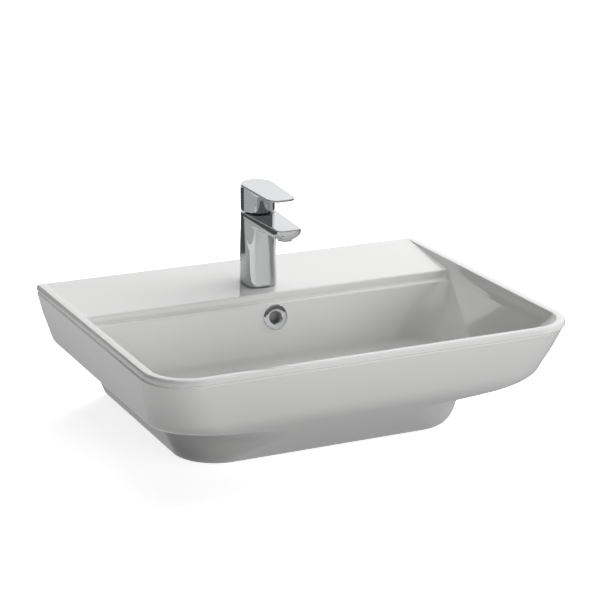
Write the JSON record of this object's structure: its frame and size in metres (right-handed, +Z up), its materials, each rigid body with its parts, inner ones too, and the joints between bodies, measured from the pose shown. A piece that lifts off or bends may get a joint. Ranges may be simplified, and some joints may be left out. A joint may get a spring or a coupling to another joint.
{
  "type": "washbasin with mixer tap",
  "caption": "Rectangular ceramic washbasin on a short foot block, with a sloping tap deck, overflow, click waste and a chromed single-lever mixer tap.",
  "frame": {"origin": "centre of the bounding box on the plane of the foot's underside", "axes": "+Z up, +Y to the wall at the back, +X to the right of someone who faces the basin"},
  "size_m": [0.6, 0.478, 0.3145],
  "materials": {
    "ceramic": "glossy",
    "chrome": "polished",
    "rubber": "matte",
    "brass": "machined",
    "steel": "machined",
    "white_plastic": "matte",
    "blue_plastic": "matte",
    "grey_plastic": "glossy",
    "disc_ceramic": "lapped"
  },
  "bodies": {
    "fixed": {"basin": "ceramic", "overflow_ring": "chrome", "waste_body": "chrome", "waste_upper_seal": "rubber", "waste_lower_seal": "rubber", "waste_washer": "white_plastic", "waste_nut": "brass", "plug_sleeve": "white_plastic", "plug_spring": "steel", "tap_body": "chrome", "tap_base_seal": "rubber", "fixing_stud": "steel", "fixing_seal": "rubber", "fixing_plate": "steel", "fixing_nut": "brass", "cartridge_seals": "rubber", "cartridge_base": "white_plastic", "cartridge_housing": "white_plastic", "disc_fixed": "disc_ceramic", "cartridge_nut": "brass", "dome_ring": "chrome", "aerator_shell": "chrome", "aerator_insert": "white_plastic", "aerator_washer": "rubber"},
    "cartridge_head": {"cartridge_rotor": "white_plastic", "fulcrum_pin": "steel"},
    "lever_group": {"lever_stem": "steel", "lever": "chrome", "set_screw": "steel", "index_cap": "grey_plastic"},
    "disc_group": {"disc_moving": "disc_ceramic", "disc_carrier": "blue_plastic"},
    "plug": {"plug_cap": "chrome", "plug_seal": "rubber", "plug_plunger": "steel"}
  },
  "joints": [
    {"name": "lever_swivel", "type": "hinge", "parent": "fixed", "child": "cartridge_head", "pos_m": [0, 0.147, 0.2678], "axis": [0, 0, 1], "range_deg": [-45, 45]},
    {"name": "lever_lift", "type": "hinge", "parent": "cartridge_head", "child": "lever_group", "pos_m": [0, 0.147, 0.2678], "axis": [-1, 0, 0], "range_deg": [0, 20]},
    {"name": "disc_slide", "type": "slide", "parent": "cartridge_head", "child": "disc_group", "axis": [0, -1, 0], "range_m": [0, 0.00446]},
    {"name": "plug_pop", "type": "slide", "parent": "fixed", "child": "plug", "axis": [0, 0, 1], "range_m": [0, 0.007], "deforming": ["plug_spring"]}
  ],
  "couplings": [
    {"joint": "disc_slide", "follows": "lever_lift", "m_per_rad": 0.012738}
  ]
}
